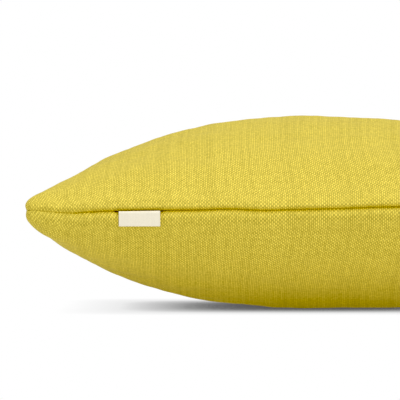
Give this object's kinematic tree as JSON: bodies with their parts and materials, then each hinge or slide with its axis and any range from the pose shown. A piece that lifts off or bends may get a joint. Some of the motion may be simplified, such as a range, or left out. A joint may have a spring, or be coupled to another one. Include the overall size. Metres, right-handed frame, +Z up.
{
  "type": "filled square cushion cover",
  "caption": "Square cushion cover, filled, lying flat, with a high crown, drawn-in sides, a plain edge seam and a blank side label.",
  "frame": {"origin": "middle of the flat spot that the cushion rests on", "axes": "+Z up through the crown, -Y towards the side with the label, +X to the right seen from there"},
  "size_m": [0.4402, 0.4402, 0.151],
  "materials": {
    "cover_cloth": "heavy plain-weave cloth, matt, mustard yellow",
    "label_ribbon": "woven satin ribbon, cream white"
  },
  "bodies": {
    "root": {"filled_cover": "cover_cloth", "side_label": "label_ribbon"}
  },
  "joints": []
}
